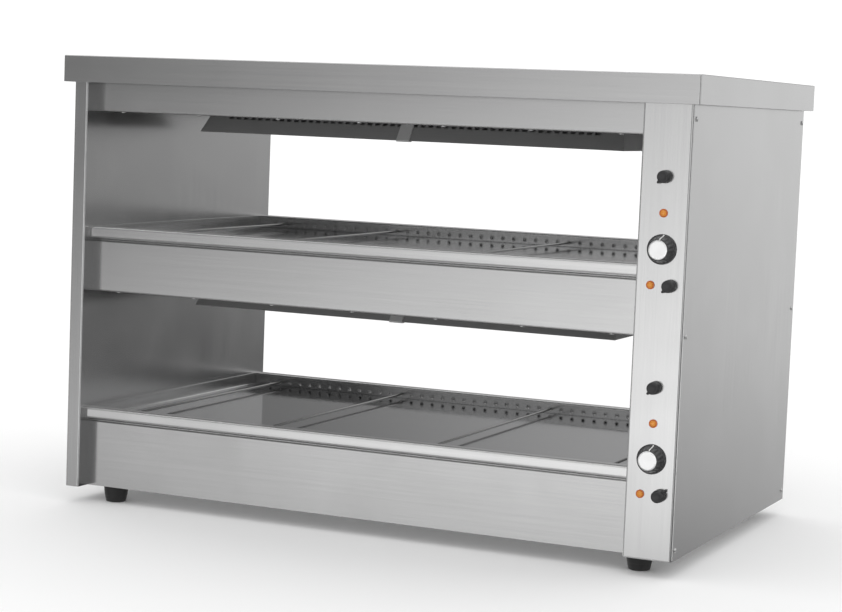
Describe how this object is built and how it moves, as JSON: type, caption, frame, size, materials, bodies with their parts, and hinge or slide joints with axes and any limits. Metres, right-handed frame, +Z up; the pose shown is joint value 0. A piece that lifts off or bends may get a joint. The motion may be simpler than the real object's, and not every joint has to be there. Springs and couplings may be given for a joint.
{
  "type": "heated display case",
  "caption": "Free-standing stainless heated display case with open heated decks, overhead heaters and a slim control housing at the right.",
  "frame": {"origin": "middle of the bounding box on the floor plane, under the feet", "axes": "+X along the length to the control housing, +Y from front to back, +Z up"},
  "size_m": [1.024, 0.6352, 0.701],
  "materials": {
    "body_steel": "brushed stainless sheet, grain along each fold",
    "side_steel": "brushed stainless sheet, vertical grain",
    "cover_steel": "brushed stainless sheet, grain along the length",
    "rim_steel": "bright folded stainless",
    "polished_plate": "mirror-polished stainless plate",
    "rod_steel": "bright drawn wire",
    "spun_aluminium": "spun face with a bright centre",
    "knob_chrome": "black moulded knob with metallised flutes",
    "knob_black": "black moulded plastic",
    "spindle_steel": "turned steel",
    "amber_lens": "amber moulded lens",
    "black_plastic": "black moulded plastic",
    "foot_rubber": "black rubber",
    "fastener_steel": "bright screw heads",
    "hood_steel": "heat-darkened reflector steel",
    "guard_steel": "heat-darkened guard",
    "element_sheath": "sheathed heating element",
    "bracket_steel": "plain steel straps",
    "mat_mica": "mica heating mat"
  },
  "bodies": {
    "cabinet": {"base_pan": "body_steel", "cable_gland": "black_plastic", "canopy_front_fascia": "body_steel", "canopy_rear_fascia": "body_steel", "canopy_underpan": "body_steel", "control_inner_wall": "body_steel", "control_panel": "body_steel", "control_rear_cover": "body_steel", "deck_end_strips": "rim_steel", "feet": "foot_rubber", "foot_bolts": "fastener_steel", "heater_brackets": "bracket_steel", "heater_elements": "element_sheath", "heater_guards": "guard_steel", "heater_mats": "mat_mica", "lamp_bodies": "black_plastic", "lamp_lenses": "amber_lens", "left_inner_skin": "body_steel", "left_outer_skin": "side_steel", "lower_front_apron": "body_steel", "lower_front_rim": "rim_steel", "lower_heater_hood": "hood_steel", "lower_hot_plate": "polished_plate", "lower_rear_apron": "body_steel", "lower_rear_rim": "rim_steel", "right_side_panel": "side_steel", "screws": "fastener_steel", "switch_bodies": "black_plastic", "terminal_block": "black_plastic", "thermostat_bodies": "black_plastic", "top_cover": "cover_steel", "upper_front_apron": "body_steel", "upper_front_rim": "rim_steel", "upper_heater_hood": "hood_steel", "upper_hot_plate": "polished_plate", "upper_rear_apron": "body_steel", "upper_rear_rim": "rim_steel", "upper_underpan": "body_steel"},
    "upper_thermostat_dial": {"upper_thermostat_knob": "knob_chrome", "upper_thermostat_cap": "spun_aluminium", "upper_thermostat_spindle": "spindle_steel"},
    "upper_heater_switch": {"upper_heater_switch_knob": "knob_black", "upper_heater_switch_spindle": "spindle_steel"},
    "upper_plate_switch": {"upper_plate_switch_knob": "knob_black", "upper_plate_switch_spindle": "spindle_steel"},
    "lower_thermostat_dial": {"lower_thermostat_knob": "knob_chrome", "lower_thermostat_cap": "spun_aluminium", "lower_thermostat_spindle": "spindle_steel"},
    "lower_heater_switch": {"lower_heater_switch_knob": "knob_black", "lower_heater_switch_spindle": "spindle_steel"},
    "lower_plate_switch": {"lower_plate_switch_knob": "knob_black", "lower_plate_switch_spindle": "spindle_steel"},
    "lower_lane_rod_1_body": {"lower_lane_rod_1": "rod_steel"},
    "lower_lane_rod_2_body": {"lower_lane_rod_2": "rod_steel"},
    "lower_lane_rod_3_body": {"lower_lane_rod_3": "rod_steel"},
    "lower_lane_rod_4_body": {"lower_lane_rod_4": "rod_steel"},
    "upper_lane_rod_1_body": {"upper_lane_rod_1": "rod_steel"},
    "upper_lane_rod_2_body": {"upper_lane_rod_2": "rod_steel"},
    "upper_lane_rod_3_body": {"upper_lane_rod_3": "rod_steel"},
    "upper_lane_rod_4_body": {"upper_lane_rod_4": "rod_steel"}
  },
  "joints": [
    {"name": "upper_thermostat_turn", "type": "hinge", "parent": "cabinet", "child": "upper_thermostat_dial", "pos_m": [0.464, -0.2984, 0.46], "axis": [0, 1, 0], "range_deg": [0, 270]},
    {"name": "upper_heater_switch_turn", "type": "hinge", "parent": "cabinet", "child": "upper_heater_switch", "pos_m": [0.464, -0.2984, 0.56], "axis": [0, 1, 0], "range_deg": [0, 180]},
    {"name": "upper_plate_switch_turn", "type": "hinge", "parent": "cabinet", "child": "upper_plate_switch", "pos_m": [0.478, -0.2984, 0.41], "axis": [0, 1, 0], "range_deg": [0, 180]},
    {"name": "lower_thermostat_turn", "type": "hinge", "parent": "cabinet", "child": "lower_thermostat_dial", "pos_m": [0.464, -0.2984, 0.168], "axis": [0, 1, 0], "range_deg": [0, 270]},
    {"name": "lower_heater_switch_turn", "type": "hinge", "parent": "cabinet", "child": "lower_heater_switch", "pos_m": [0.464, -0.2984, 0.268], "axis": [0, 1, 0], "range_deg": [0, 180]},
    {"name": "lower_plate_switch_turn", "type": "hinge", "parent": "cabinet", "child": "lower_plate_switch", "pos_m": [0.478, -0.2984, 0.118], "axis": [0, 1, 0], "range_deg": [-180, 0]},
    {"name": "lower_lane_rod_1_unhook", "type": "slide", "parent": "cabinet", "child": "lower_lane_rod_1_body", "axis": [0, -1, 0], "range_m": [0, 0.009]},
    {"name": "lower_lane_rod_2_unhook", "type": "slide", "parent": "cabinet", "child": "lower_lane_rod_2_body", "axis": [0, -1, 0], "range_m": [0, 0.009]},
    {"name": "lower_lane_rod_3_unhook", "type": "slide", "parent": "cabinet", "child": "lower_lane_rod_3_body", "axis": [0, -1, 0], "range_m": [0, 0.009]},
    {"name": "lower_lane_rod_4_unhook", "type": "slide", "parent": "cabinet", "child": "lower_lane_rod_4_body", "axis": [0, -1, 0], "range_m": [0, 0.009]},
    {"name": "upper_lane_rod_1_unhook", "type": "slide", "parent": "cabinet", "child": "upper_lane_rod_1_body", "axis": [0, -1, 0], "range_m": [0, 0.009]},
    {"name": "upper_lane_rod_2_unhook", "type": "slide", "parent": "cabinet", "child": "upper_lane_rod_2_body", "axis": [0, -1, 0], "range_m": [0, 0.009]},
    {"name": "upper_lane_rod_3_unhook", "type": "slide", "parent": "cabinet", "child": "upper_lane_rod_3_body", "axis": [0, -1, 0], "range_m": [0, 0.009]},
    {"name": "upper_lane_rod_4_unhook", "type": "slide", "parent": "cabinet", "child": "upper_lane_rod_4_body", "axis": [0, -1, 0], "range_m": [0, 0.009]}
  ]
}
